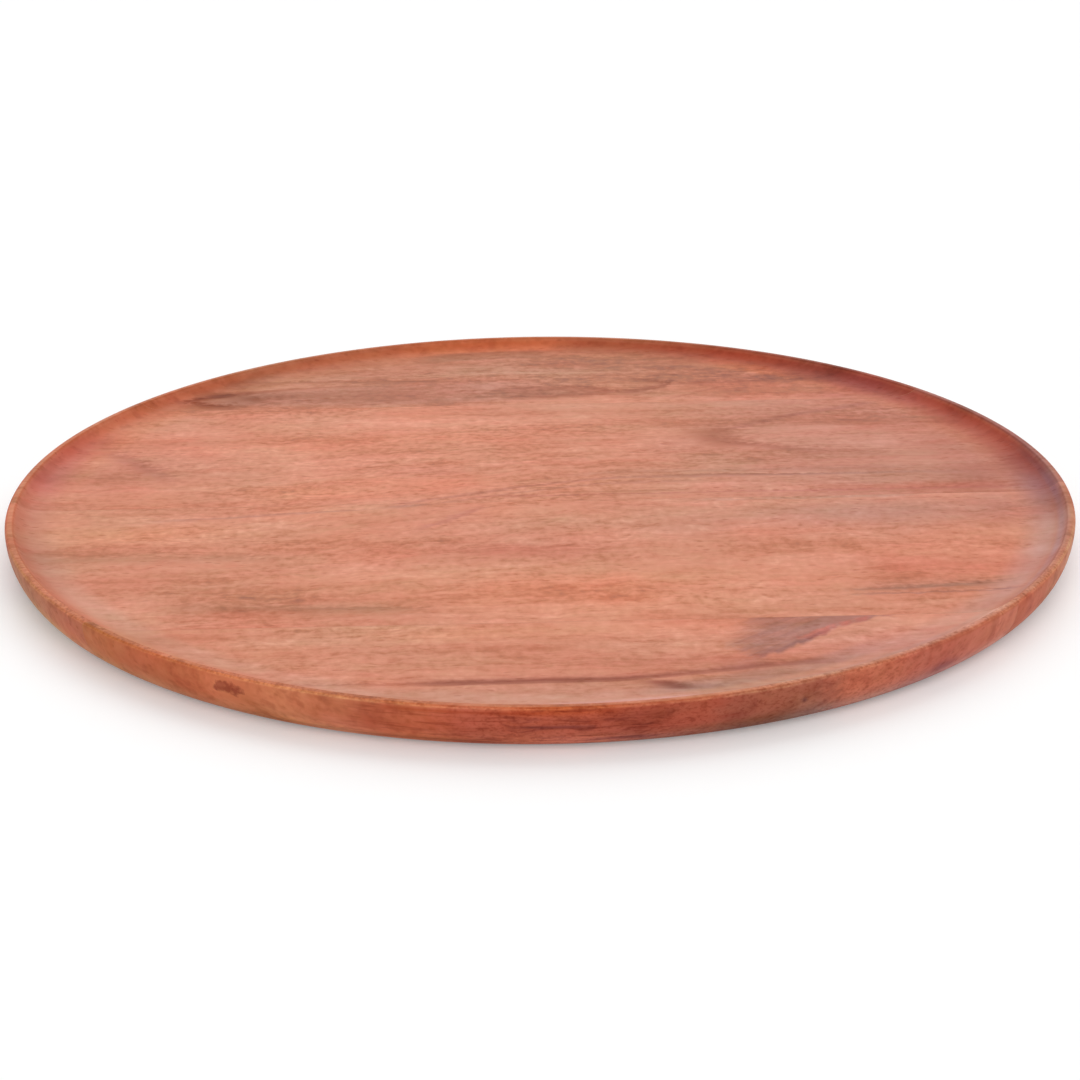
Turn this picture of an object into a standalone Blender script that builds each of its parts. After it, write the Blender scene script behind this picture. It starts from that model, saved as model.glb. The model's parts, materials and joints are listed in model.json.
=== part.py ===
"""Charger plate: a shallow round plate turned from a panel of edge-glued boards.

Units are metres, +Z is up, and the origin is the centre of the flat base.
X runs along the grain and -Y is the plate's front.
"""

import math

import bmesh
import bpy

# Turned form
PLATE_RADIUS = 0.165
FLOOR_THICKNESS = 0.0108
WELL_DEPTH = 0.003
LIP_WIDTH = 0.0026
LIP_OUTER_ROUND = 0.0012
LIP_INNER_ROUND = 0.0008
COVE_RISE = math.radians(46)
FOOT_INSET = 0.0091

# Panel of boards, glued edge to edge
BOARD_WIDTH = 0.097
MIDDLE_JOINT_Y = -0.0047
GLUE_FILM = 0.0002
GLUE_CLEARANCE = 0.00005
TURNING_ALLOWANCE = 0.004

# Smoothness of the turned form
TURNING_STEPS = 96
COVE_POINTS = 8
LIP_POINTS = 4
WALL_POINTS = 10

# What follows from the sizes above
PLATE_HEIGHT = FLOOR_THICKNESS + WELL_DEPTH
WELL_RADIUS = PLATE_RADIUS - LIP_WIDTH
FOOT_RADIUS = PLATE_RADIUS - FOOT_INSET
JOINT_GAP = GLUE_FILM + 2 * GLUE_CLEARANCE
BLANK_REACH = PLATE_RADIUS + TURNING_ALLOWANCE

# Finishes: colour, roughness
BOARDS = {
    "front_board": ((0.47, 0.17, 0.10), 0.5),
    "front_middle_board": ((0.54, 0.24, 0.16), 0.5),
    "back_middle_board": ((0.57, 0.25, 0.17), 0.5),
    "back_board": ((0.50, 0.21, 0.14), 0.5),
}
GLUE_LINES = {
    "front_glue_line": ((0.20, 0.09, 0.05), 0.6),
    "middle_glue_line": ((0.20, 0.09, 0.05), 0.6),
    "back_glue_line": ((0.20, 0.09, 0.05), 0.6),
}


def clear_scene():
    for obj in list(bpy.data.objects):
        bpy.data.objects.remove(obj, do_unlink=True)


def new_collection(name):
    collection = bpy.data.collections.new(name)
    bpy.context.scene.collection.children.link(collection)
    return collection


def finish(name, colour, roughness):
    """A plain oiled-wood or glue finish."""
    material = bpy.data.materials.new(name)
    material.use_nodes = True
    shader = material.node_tree.nodes["Principled BSDF"]
    shader.inputs["Base Color"].default_value = (*colour, 1)
    shader.inputs["Roughness"].default_value = roughness
    shader.inputs["Metallic"].default_value = 0
    return material


def arc(centre, width, height, start, end, points):
    """Points of an elliptical arc between two angles, as (radius, z)."""
    angles = [start + (end - start) * step / (points - 1) for step in range(points)]
    return [(centre[0] + width * math.cos(a), centre[1] + height * math.sin(a)) for a in angles]


def plate_profile():
    """Half section of the plate: well floor, cove, lip, wall and base, out from the axis and back."""
    up = math.pi / 2
    inner_round = min(LIP_INNER_ROUND, LIP_WIDTH / 3)
    outer_round = min(LIP_OUTER_ROUND, LIP_WIDTH / 2)
    cove_radius = WELL_DEPTH / (1 - math.cos(COVE_RISE)) - inner_round
    cove_centre = (WELL_RADIUS - cove_radius * math.sin(COVE_RISE), FLOOR_THICKNESS + cove_radius)
    inner_centre = (WELL_RADIUS + inner_round * math.sin(COVE_RISE), PLATE_HEIGHT - inner_round)
    outer_centre = (PLATE_RADIUS - outer_round, PLATE_HEIGHT - outer_round)
    wall_centre = (FOOT_RADIUS, PLATE_HEIGHT - outer_round)
    cove = arc(cove_centre, cove_radius, cove_radius, -up, COVE_RISE - up, COVE_POINTS)
    inner_lip = arc(inner_centre, inner_round, inner_round, up + COVE_RISE, up, LIP_POINTS)[1:]
    outer_lip = arc(outer_centre, outer_round, outer_round, up, 0, LIP_POINTS)
    wall = arc(wall_centre, FOOT_INSET, wall_centre[1], 0, -up, WALL_POINTS)[1:]
    return [(0, FLOOR_THICKNESS), *cove, *inner_lip, *outer_lip, *wall, (0, 0)]


def turned_form(collection):
    """The plate as the lathe leaves it, one solid of revolution that trims every board."""
    mesh = bpy.data.meshes.new("turned_form")
    points = [(radius, 0, z) for radius, z in plate_profile()]
    edges = [(index, index + 1) for index in range(len(points) - 1)]
    mesh.from_pydata(points, edges, [])
    form = bpy.data.objects.new("turned_form", mesh)
    collection.objects.link(form)
    screw = form.modifiers.new("turning", "SCREW")
    screw.axis = "Z"
    screw.angle = 2 * math.pi
    screw.steps = TURNING_STEPS
    screw.render_steps = TURNING_STEPS
    screw.use_merge_vertices = True
    screw.merge_threshold = 0.00001
    screw.use_smooth_shade = True
    form.hide_render = True
    form.display_type = "WIRE"
    return form


def turned_piece(name, low_y, high_y, form, collection):
    """A rough strip of the panel between two glue faces, trimmed to the turned form."""
    size = (2 * BLANK_REACH, high_y - low_y, PLATE_HEIGHT + 2 * TURNING_ALLOWANCE)
    mesh = bpy.data.meshes.new(name)
    strip = bmesh.new()
    bmesh.ops.create_cube(strip, size=1)
    bmesh.ops.scale(strip, vec=size, verts=strip.verts)
    strip.to_mesh(mesh)
    strip.free()
    piece = bpy.data.objects.new(name, mesh)
    piece.location = (0, (low_y + high_y) / 2, PLATE_HEIGHT / 2)
    collection.objects.link(piece)
    trim = piece.modifiers.new("turned", "BOOLEAN")
    trim.operation = "INTERSECT"
    trim.solver = "EXACT"
    trim.object = form
    return piece


def main():
    clear_scene()
    plate = new_collection("charger_plate")
    cutters = new_collection("charger_plate_cutters")
    form = turned_form(cutters)

    middle = (len(GLUE_LINES) - 1) / 2
    joints = [MIDDLE_JOINT_Y + (index - middle) * BOARD_WIDTH for index in range(len(GLUE_LINES))]
    front_faces = [-BLANK_REACH, *(joint + JOINT_GAP / 2 for joint in joints)]
    back_faces = [*(joint - JOINT_GAP / 2 for joint in joints), BLANK_REACH]

    for (name, look), low_y, high_y in zip(BOARDS.items(), front_faces, back_faces):
        board = turned_piece(name, low_y, high_y, form, plate)
        board.data.materials.append(finish(name, *look))
    for (name, look), joint in zip(GLUE_LINES.items(), joints):
        film = turned_piece(name, joint - GLUE_FILM / 2, joint + GLUE_FILM / 2, form, plate)
        film.data.materials.append(finish(name, *look))


main()
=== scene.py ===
# %% [markdown]
# # A turned charger plate
# The plate is a shallow wooden disc with a low lip, turned on a lathe from four boards that were glued
# edge to edge. The packed model gives its place and size, but its faces are plain. This lesson turns a finer
# form in its place, cuts it into the same boards, and gives most of its cells to the wood.

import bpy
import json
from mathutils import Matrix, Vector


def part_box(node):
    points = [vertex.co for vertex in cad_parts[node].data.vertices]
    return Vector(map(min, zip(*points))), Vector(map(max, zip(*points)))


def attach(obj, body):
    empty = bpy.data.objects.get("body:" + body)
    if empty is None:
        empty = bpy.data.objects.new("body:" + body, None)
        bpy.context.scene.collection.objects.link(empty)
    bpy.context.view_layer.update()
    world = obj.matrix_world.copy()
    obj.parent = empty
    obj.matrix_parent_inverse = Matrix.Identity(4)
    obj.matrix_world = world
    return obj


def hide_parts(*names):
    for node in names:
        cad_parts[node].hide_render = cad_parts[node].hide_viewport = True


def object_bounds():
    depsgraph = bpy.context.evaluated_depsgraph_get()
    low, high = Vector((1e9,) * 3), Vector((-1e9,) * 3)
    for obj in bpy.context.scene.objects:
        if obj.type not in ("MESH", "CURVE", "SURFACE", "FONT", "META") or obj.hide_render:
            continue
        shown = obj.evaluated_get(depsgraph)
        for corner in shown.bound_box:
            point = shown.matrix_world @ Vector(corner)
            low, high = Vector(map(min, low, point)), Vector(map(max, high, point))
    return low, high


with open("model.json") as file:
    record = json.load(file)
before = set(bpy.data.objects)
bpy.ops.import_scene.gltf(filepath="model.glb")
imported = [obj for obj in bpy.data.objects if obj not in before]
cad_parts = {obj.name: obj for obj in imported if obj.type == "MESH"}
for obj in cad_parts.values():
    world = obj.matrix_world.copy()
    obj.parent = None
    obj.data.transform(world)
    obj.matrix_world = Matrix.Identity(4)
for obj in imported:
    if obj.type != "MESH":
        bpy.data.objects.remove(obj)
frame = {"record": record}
cad_low, cad_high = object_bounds()
PLATE_RADIUS = (cad_high[0] - cad_low[0]) / 2
PLATE_HEIGHT = cad_high[2]
SEAT = next(mount for mount in frame["record"]["mounts"] if mount["name"] == "plate_seat")
FLOOR_HEIGHT = SEAT["pos_m"][2]
print("plate", round(2 * PLATE_RADIUS, 4), "m across and", round(PLATE_HEIGHT, 4), "m high")
print("floor of the well at", FLOOR_HEIGHT, "m")

# %% [markdown]
# ## The bends
# A turner works to a section, and its bends give the look. A curve could be drawn by hand, but points worked
# out from named sizes can be checked against the packed part. Lip and wall are arcs of circles and ellipses.
# The cove is a power curve, because a sanded cove leaves its floor without a line.

# %% Draw an arc and the cove
import math

LIP_WIDTH = 0.0026
LIP_INNER_ROUND = 0.0008
COVE_RISE = math.radians(46)
COVE_WIDTH = 0.0154
COVE_EASE = 0.22
COVE_CROWDING = 1.5
WELL_RADIUS = PLATE_RADIUS - LIP_WIDTH


def arc(centre, width, height, start, end, points):
    """Points of an elliptical arc between two angles, as (radius, z)."""
    angles = [start + (end - start) * step / (points - 1) for step in range(points)]
    return [(centre[0] + width * math.cos(a), centre[1] + height * math.sin(a)) for a in angles]


def cove(points):
    """Points of a cove that leaves the floor gently and meets the lip at its full slope."""
    climb = PLATE_HEIGHT - LIP_INNER_ROUND * (1 - math.cos(COVE_RISE)) - FLOOR_HEIGHT
    power = (math.tan(COVE_RISE) * COVE_WIDTH / climb - 2 * COVE_EASE) / (1 - COVE_EASE)
    steps = [1 - (1 - step / (points - 1)) ** COVE_CROWDING for step in range(points)]
    heights = [COVE_EASE * s ** 2 + (1 - COVE_EASE) * s ** power for s in steps]
    return [(WELL_RADIUS - COVE_WIDTH * (1 - s), FLOOR_HEIGHT + climb * h) for s, h in zip(steps, heights)]


print("cove, as (radius, z):", [(round(radius, 4), round(z, 4)) for radius, z in cove(4)])

# %% [markdown]
# ## The section
# From the middle out come a flat floor, the cove, a small flat on the lip, and a rounded wall that runs in to
# a flat base. Two points would do for a flat, but a few rings more keep its faces from growing long and thin.

# %% Join the section
LIP_OUTER_ROUND = 0.0012
FOOT_INSET = 0.0091
FLAT_RINGS = (0.03, 0.07, 0.11, 0.135)
LONG_BEND_POINTS = 26
INNER_ROUND_POINTS = 8
OUTER_ROUND_POINTS = 9


def section():
    """Half section of the plate, from the middle of its floor over the lip to the middle of its base."""
    up = math.pi / 2
    inner_centre = (WELL_RADIUS + LIP_INNER_ROUND * math.sin(COVE_RISE), PLATE_HEIGHT - LIP_INNER_ROUND)
    outer_centre = (PLATE_RADIUS - LIP_OUTER_ROUND, PLATE_HEIGHT - LIP_OUTER_ROUND)
    wall_centre = (PLATE_RADIUS - FOOT_INSET, outer_centre[1])
    floor = [(radius, FLOOR_HEIGHT) for radius in FLAT_RINGS]
    inner_round = arc(inner_centre, LIP_INNER_ROUND, LIP_INNER_ROUND, up + COVE_RISE, up, INNER_ROUND_POINTS)
    outer_round = arc(outer_centre, LIP_OUTER_ROUND, LIP_OUTER_ROUND, up, 0, OUTER_ROUND_POINTS)
    wall = arc(wall_centre, FOOT_INSET, wall_centre[1], 0, -up, LONG_BEND_POINTS)
    base = [(radius, 0.0) for radius in reversed(FLAT_RINGS)]
    return [*floor, *cove(LONG_BEND_POINTS), *inner_round[1:], *outer_round, *wall[1:], *base]


print("section of", len(section()), "points")

# %% [markdown]
# ## Turning
# On the lathe the section goes round the axis once. A Screw modifier could do that, but rings laid one by one
# are closed at floor and base straight away, and only a closed skin can be cut into boards.

# %% Turn the plate
import bmesh
import bpy

TURNS = 360


def turned_skin():
    """The whole plate as one closed skin."""
    skin = bmesh.new()
    rings = []
    for radius, z in section():
        angles = [2 * math.pi * step / TURNS for step in range(TURNS)]
        rings.append([skin.verts.new((radius * math.cos(a), radius * math.sin(a), z)) for a in angles])
    for upper, lower in zip(rings, rings[1:]):
        for step in range(TURNS):
            after = (step + 1) % TURNS
            skin.faces.new((upper[step], lower[step], lower[after], upper[after]))
    skin.faces.new(rings[0])
    skin.faces.new(rings[-1][::-1])
    return skin


whole_plate = turned_skin()
print("whole plate of", len(whole_plate.verts), "points and", len(whole_plate.faces), "faces")
whole_plate.free()

# %% [markdown]
# ## Cutting
# Each board is a copy of the skin, cut off at its two glue faces and closed there. A Boolean modifier could
# cut it too, but a straight cut is exact, and it lets the lip and the wall run on from board to board without
# a step, as on a panel turned in one go.

# %% Cut one piece
CUT_TOLERANCE = 1e-7
SHARP_ANGLE = math.radians(35)


def put_in_scene(name, data):
    """A new object in the scene, made of a mesh, a lamp or a camera."""
    placed = bpy.data.objects.new(name, data)
    bpy.context.scene.collection.objects.link(placed)
    return placed


def cut_piece(name, front_y, back_y):
    """The part of the plate between two glue faces, closed at both."""
    skin = turned_skin()
    for face_y, outward in ((front_y, -1), (back_y, 1)):
        everything = skin.verts[:] + skin.edges[:] + skin.faces[:]
        bmesh.ops.bisect_plane(skin, geom=everything, dist=CUT_TOLERANCE, plane_co=(0, face_y, 0),
                               plane_no=(0, outward, 0), clear_outer=True)
        rim = [edge for edge in skin.edges if edge.is_boundary]
        if rim:
            bmesh.ops.holes_fill(skin, edges=rim, sides=0)
    mesh = bpy.data.meshes.new(name)
    skin.to_mesh(mesh)
    skin.free()
    mesh.shade_smooth()
    mesh.set_sharp_from_angle(angle=SHARP_ANGLE)
    return put_in_scene(name, mesh)


print("bends under", round(math.degrees(SHARP_ANGLE)), "degrees are shaded smooth")

# %% [markdown]
# ## Four boards and three glue films
# The packed glue lines say where the joints are. The boards could simply touch there, but a real joint has a
# film of glue between its faces, so the film is a thin slice of the same turned plate.

# %% Cut the four boards and the three glue films
GLUE_FILM = 0.0001
BOARDS = ("front_board", "front_middle_board", "back_middle_board", "back_board")
GLUE_LINES = ("front_glue_line", "middle_glue_line", "back_glue_line")


def middle_y(node):
    """The y in the middle of a packed node."""
    low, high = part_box(node)
    return (low[1] + high[1]) / 2


joints = [middle_y(node) for node in GLUE_LINES]
front_faces = [-2 * PLATE_RADIUS] + [joint + GLUE_FILM / 2 for joint in joints]
back_faces = [joint - GLUE_FILM / 2 for joint in joints] + [2 * PLATE_RADIUS]
boards = {}
for node, front_y, back_y in zip(BOARDS, front_faces, back_faces):
    boards[node] = cut_piece("turned_" + node, front_y, back_y)
films = {}
for node, joint in zip(GLUE_LINES, joints):
    films[node] = cut_piece("turned_" + node, joint - GLUE_FILM / 2, joint + GLUE_FILM / 2)
print({piece.name: len(piece.data.polygons) for piece in [*boards.values(), *films.values()]})

# %% [markdown]
# ## Shader maths in plain Python
# Wood is one recipe worked out at every point: how far along the board, how far across, how deep. Node by
# node that recipe is hard to read, so a small class wraps one output of a node. Adding or multiplying two
# of these adds the Math node that does it, and the recipes below read like the arithmetic they are.

# %% A class for shader maths
class Signal:
    """One output of a shader node. Without a node it is only the tree that the first one goes in."""

    def __init__(self, tree, made=None, out=0):
        self.tree = tree
        self.made = made
        self.socket = made.outputs[out] if made and made.outputs else None

    def also(self, out):
        """Another output of the same node."""
        return Signal(self.tree, self.made, out)

    def node(self, kind, settings, sockets, out=0):
        """Adds any shader node: its settings first, then the values or links of its sockets."""
        made = self.tree.nodes.new("ShaderNode" + kind)
        for name, value in settings.items():
            if name == "stops":
                lay_stops(made.color_ramp.elements, value)
            else:
                setattr(made, name, value)
        for name, value in sockets.items():
            if isinstance(value, Signal):
                self.tree.links.new(value.socket, made.inputs[name])
            else:
                made.inputs[name].default_value = value
        return Signal(self.tree, made, out)

    def math(self, operation, *values):
        return self.node("Math", {"operation": operation}, dict(enumerate(values)))

    def __add__(self, other):
        return self.math("ADD", self, other)

    __radd__ = __add__

    def __sub__(self, other):
        return self.math("SUBTRACT", self, other)

    def __rsub__(self, other):
        return self.math("SUBTRACT", other, self)

    def __mul__(self, other):
        return self.math("MULTIPLY", self, other)

    __rmul__ = __mul__

    def __truediv__(self, other):
        return self.math("DIVIDE", self, other)

    def __abs__(self):
        return self.math("ABSOLUTE", self)

    def rise(self, low, high):
        """0 up to low, 1 from high on, eased between. It falls where low is the larger one."""
        eased = {"interpolation_type": "SMOOTHSTEP"}
        return self.node("MapRange", eased, {0: self, 1: low, 2: high})

    def within(self, low, high, soft):
        """1 between low and high, fading over a soft edge at both."""
        return self.rise(low - soft, low + soft) * self.rise(high + soft, high - soft)

    def bell(self, centre, width):
        """1 at the centre, fading to about a third at this width on both sides."""
        off = (self - centre) / width
        fall = off * off * -1
        return fall.math("EXPONENT", fall)

    def mix(self, start, end, blend="MIX"):
        """A colour that goes from start to end, or to start blended with end, as this goes from 0 to 1."""
        settings = {"data_type": "RGBA", "blend_type": blend}
        return self.node("Mix", settings, {0: self, 6: start, 7: end}, 2)

    def lumps(self, lengths, seed):
        """This place counted in lumps of the given lengths along x, y and z, moved aside by a seed."""
        counts = [1 / length for length in lengths]
        aside = (7.3 * seed, 3.1 * seed, 5.7 * seed)
        moved = {0: self, 1: counts, 2: aside}
        return self.node("VectorMath", {"operation": "MULTIPLY_ADD"}, moved)

    def noise(self, lengths, seed, detail=2.0):
        """Smooth noise about 0, mostly within a half, with lumps of the given lengths."""
        place = {"Vector": self.lumps(lengths, seed), "Scale": 1.0, "Detail": detail}
        return self.node("TexNoise", {}, place) * 2 - 1


def lay_stops(elements, stops):
    """The stops of a colour ramp, as (place, colour) pairs."""
    while len(elements) < len(stops):
        elements.new(1.0)
    for element, (place, colour) in zip(elements, stops):
        element.position = place
        element.color = (*colour, 1)


def empty_tree(owner):
    """Where a recipe starts: the emptied node tree of a material or a world."""
    owner.use_nodes = True
    owner.node_tree.nodes.clear()
    return Signal(owner.node_tree)


print("shader maths:", [name for name in vars(Signal) if name[0] != "_"])

# %% [markdown]
# ## Stains
# A board's colour is built up as a maker would: bare wood first, then stain over stain. Mixing in new colours
# would paint over the grain. A stain multiplies the colour so far where its mask is 1, and the grain shows.

# %% Keep a board's wood
RIM_FADE_ALONG = 9
RIM_FADE_ACROSS = 1.5


class Wood:
    """The wood of one board while it is made: its recipe, its seed and its colour so far."""

    def __init__(self, name, seed):
        self.material = bpy.data.materials.new(name)
        self.start = empty_tree(self.material)
        self.seed = seed

    def tint(self, mask, stain):
        """Multiplies the wood's colour by a stain where the mask is 1."""
        self.colour = mask.mix(self.colour, (*stain, 1), "MULTIPLY")

    def streak(self, start, end, width, stain, taper=8):
        """Stains a streak between two places in mm, soft across it and tapering at both ends."""
        slope = (end[1] - start[1]) / (end[0] - start[0])
        across = self.y - (self.x - start[0]) * slope
        self.tint(across.bell(start[1], width) * self.x.within(start[0], end[0], taper), stain)

    def patch(self, centre, reach, stain):
        """Stains a soft oval about a place in mm."""
        self.tint(self.x.bell(centre[0], reach[0]) * self.y.bell(centre[1], reach[1]), stain)

    def rim(self, span, reach, stain):
        """Stains part of the rim: a span along x, between two distances from the axis."""
        part = self.along.within(*span, RIM_FADE_ALONG) * self.radius.within(*reach, RIM_FADE_ACROSS)
        self.tint(part * self.shown, stain)

    def stain_wall(self, mask, stain):
        """Stains the outer wall where the mask is 1."""
        self.tint(mask * self.wall, stain)

    def tell(self, what):
        """Says what the wood has so far."""
        print(self.material.name, "has its", what + ":", len(self.material.node_tree.nodes), "nodes")


print("stains:", [name for name in vars(Wood) if name[0] != "_"])

# %% [markdown]
# ## Where a point of the wood lies
# A stain keeps to a face: the cove, the lip, the wall. These could be picked in the mesh, but then each would
# end in a hard line. Masks worked out from a point's place, and from the way the surface faces there, fade.

# %% Find a point's place and face
MM = 1000
FLOOR_MM = FLOOR_HEIGHT * MM
LIP_MM = PLATE_HEIGHT * MM
WALL_FACING = (0.15, 0.6)
COVE_FACING = (-0.03, -0.4)
BASE_FACING = (-0.95, -0.7)
FRONT_HALF = (-0.1, -0.6)
BACK_HALF = (0.0, 0.3)
RING_START = (147, 160)
RING_END = (163.2, 161)
LIP_START = (161.5, 162.5)
LIP_TOP = (LIP_MM - 0.8, LIP_MM - 0.1)


def find_place(wood):
    """Place in mm, along and across the grain and up, and distance from the axis."""
    wood.coordinates = wood.start.node("TexCoord", {}, {}, "Object")
    in_mm = {0: wood.coordinates, "Scale": MM}
    wood.place = wood.start.node("VectorMath", {"operation": "SCALE"}, in_mm)
    wood.along = wood.start.node("SeparateXYZ", {}, {0: wood.place})
    wood.flat_y = wood.along.also(1)
    wood.depth = wood.along.also(2)
    square = wood.along * wood.along + wood.flat_y * wood.flat_y
    wood.radius = square.math("SQRT", square)


def find_faces(wood):
    """Masks for the turned faces. The ring is the cove with the floor before it, and never the base."""
    normal = wood.start.node("SeparateXYZ", {}, {0: wood.coordinates.also("Normal")})
    outward = (normal * wood.along + normal.also(1) * wood.flat_y) / wood.radius
    wood.side = wood.flat_y / wood.radius
    wood.front_half = wood.side.rise(*FRONT_HALF)
    wood.back_half = wood.side.rise(*BACK_HALF)
    wood.wall = outward.rise(*WALL_FACING)
    wood.cove = outward.rise(*COVE_FACING)
    wood.shown = normal.also(2).rise(*BASE_FACING)
    wood.ring = wood.radius.rise(*RING_START) * wood.radius.rise(*RING_END) * wood.shown
    wood.lip = wood.depth.rise(*LIP_TOP) * wood.radius.rise(*LIP_START)


print("floor of the well at", round(FLOOR_MM, 2), "mm and top of the lip at", round(LIP_MM, 2), "mm")

# %% [markdown]
# ## Grain
# All four boards are one timber, sawn flat, with the grain along x. A picture of wood would show one face on
# every side. This grain is solid: each lump of noise is long in x and short in y and z, so the floor shows
# lines and the plate's ends show dots, as a saw leaves them. The growth layers lean, and the round wall cuts
# them into shallow bowls.

# %% Lay the grain
LAYER_LEAN = 0.3
SWEEP_RUN = (-105, 30)
SWEEP_ACROSS = (-6, 60)
SWEEP_STEP = 26
FINE_SWEEP_SHARE = 0.4
CURL_STEP = 3
WAVER_STEP = 4
FINE_DETAIL = 3.0


def lay_grain(wood):
    """Noise of every size, from flecks to broad bands, and a place whose edges fray along the fibres."""
    layer = wood.flat_y - (wood.depth - FLOOR_MM) * LAYER_LEAN
    sweep = wood.along.rise(*SWEEP_RUN) * wood.flat_y.bell(*SWEEP_ACROSS) * SWEEP_STEP
    curl = wood.place.noise((15, 9, 9), wood.seed + 0.5) * CURL_STEP
    waver = wood.place.noise((130, 24, 24), wood.seed) * WAVER_STEP
    fine_place = {0: wood.along, 1: layer - sweep * FINE_SWEEP_SHARE + curl, 2: wood.depth}
    broad_place = {0: wood.along, 1: layer - sweep + curl + waver, 2: wood.depth}
    wood.grain = wood.start.node("CombineXYZ", {}, fine_place)
    wood.figure = wood.start.node("CombineXYZ", {}, broad_place)
    wood.fibre = wood.grain.noise((10, 1.2, 2), wood.seed + 1, FINE_DETAIL)
    wood.fleck = wood.grain.noise((2.6, 2.5, 2.5), wood.seed + 2, FINE_DETAIL)
    wood.mottle = wood.grain.noise((8, 5, 5), wood.seed + 6)
    wood.strand = wood.figure.noise((45, 3.0, 5), wood.seed + 3)
    wood.band = wood.figure.noise((220, 12, 30), wood.seed + 4)
    wood.cloud = wood.place.noise((60, 26, 26), wood.seed + 5)
    wood.x = wood.along + wood.fleck * 4 + wood.fibre * 4
    wood.y = layer + wood.strand * 2.2 + wood.fleck * 1.6


print("growth layers lean", LAYER_LEAN, "mm for each mm of height")

# %% [markdown]
# ## The colour of the grain
# Oiled red-brown wood runs from dark late growth to pale early growth. Two colours mixed by one noise look
# like plastic. Here all the noises add up to one shade, a ramp of five browns colours it, and three more
# noises push the hue a little, as it drifts in real timber.

# %% Colour the grain
BROWNS = ((0.0, (0.353, 0.123, 0.073)), (0.3, (0.498, 0.173, 0.091)), (0.55, (0.603, 0.229, 0.137)),
          (0.8, (0.673, 0.271, 0.173)), (1.0, (0.743, 0.318, 0.213)))
RING_CALM = 0.6
WALL_CALM = 0.6


def colour_grain(wood, tone):
    """The colour that the grain gives. A higher tone is a paler board."""
    calm = 1 - wood.ring * RING_CALM
    lively = (wood.place.noise((60, 25, 25), wood.seed + 9) + 0.95) * calm
    fine = wood.fibre * 0.25 + wood.fleck * 0.43 + wood.mottle * 0.28
    broad = (wood.strand * 0.2 + wood.band * 0.34) * calm + wood.cloud * 0.5
    shade = fine * lively * (1 - wood.wall * WALL_CALM) + broad + tone
    wood.colour = wood.start.node("ValToRGB", {"stops": BROWNS}, {0: shade})
    hue = wood.figure.noise((34, 9, 9), wood.seed + 7)
    wood.tint(hue.rise(0.0, 0.45), (1.0, 0.93, 0.93))
    wood.tint(hue.rise(0.0, -0.45), (0.98, 1.05, 1.03))
    drift = wood.place.noise((60, 30, 30), wood.seed + 10)
    wood.tint(drift.rise(0.0, 0.4), (1.02, 0.93, 0.9))
    wood.tint(drift.rise(0.0, -0.4), (0.97, 1.06, 1.07))
    cast = wood.grain.noise((5, 3, 3), wood.seed + 11)
    wood.tint(cast.rise(0.0, 0.4), (0.99, 0.95, 0.95))
    wood.tint(cast.rise(0.0, -0.4), (1.01, 1.05, 1.04))


def saw_board(name, tone, seed):
    """The bare wood of one board, before its figure and its finish."""
    wood = Wood(name, seed)
    find_place(wood)
    find_faces(wood)
    lay_grain(wood)
    colour_grain(wood, tone)
    wood.tell("grain")
    return wood


print("browns from", BROWNS[0][1], "to", BROWNS[-1][1])

# %% [markdown]
# ## Open pores
# Pores are cut vessels, short dark dashes along the grain. They could be modelled as grooves, but there are
# thousands, finer than a hair. A Voronoi texture stretched along x gives one dash in the middle of each cell,
# and the colour of the cell says whether it has one.

# %% Open the pores
PORE_CELL = (4.5, 1.6, 1.6)
PORE_STAIN = (0.86, 0.81, 0.79)


def open_pores(wood):
    """Stains the pores, and gives back their mask."""
    cells = {"Vector": wood.grain.lumps(PORE_CELL, wood.seed + 8), "Scale": 1.0}
    nearest = wood.start.node("TexVoronoi", {}, cells, "Distance")
    pore = nearest.rise(0.36, 0.14) * nearest.also("Color").rise(0.35, 0.8)
    wood.tint(pore * (wood.cloud + 0.8), PORE_STAIN)
    return pore


print("one pore at most in each cell of", PORE_CELL, "mm")

# %% [markdown]
# ## Oil and painted shade in the cove and the wall
# Steep faces show more end grain and drink more oil, so the cove and the wall are redder and deeper than the
# floor. Part of that is painted shade, for the sheen and light from above that the floor gets and steep faces
# miss, and the cove's dark red in the back half is partly painted shade as well. Two materials could meet at
# an edge, but the real change is gradual, so it is a few stains over soft masks. They stay off the base,
# which is plain wood.

# %% Soak the cove and the wall, and paint their shade
COVE_OIL_AND_SHADE = (0.95, 0.8, 0.72)
RING_OIL_AND_SHADE = (0.93, 0.72, 0.58)
RING_FOOT_STAIN = (1.0, 0.97, 0.9)
RING_SPECK_STAIN = (0.87, 0.82, 0.8)
RING_FOOT = (147, 155, 3)
WALL_OIL_AND_SHADE = (0.92, 0.61, 0.55)
WALL_MOTTLE_STAIN = (0.87, 0.81, 0.83)
BACK_WALL_STAIN = (0.76, 0.68, 0.66)
FOOT_PAINTED_REFLECTION = (1.12, 1.4, 1.48)
FOOT_HEIGHTS = (7.5, 3)


def soak_cove_and_paint_shade(wood):
    """Oil and painted shade in the cove, most of both in the back half."""
    # Partly painted shade: the cove is made darker and redder than the floor.
    wood.tint(wood.cove, COVE_OIL_AND_SHADE)
    # Partly painted shade: the cove and the floor before it are darker in the back half.
    wood.tint(wood.ring * wood.back_half, RING_OIL_AND_SHADE)
    wood.tint(wood.radius.within(*RING_FOOT) * wood.back_half * wood.shown, RING_FOOT_STAIN)
    blotch = wood.place.noise((5, 5, 3), wood.seed + 13, FINE_DETAIL)
    wood.tint(wood.ring * wood.back_half * blotch.rise(0.05, -0.35), RING_SPECK_STAIN)


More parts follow.
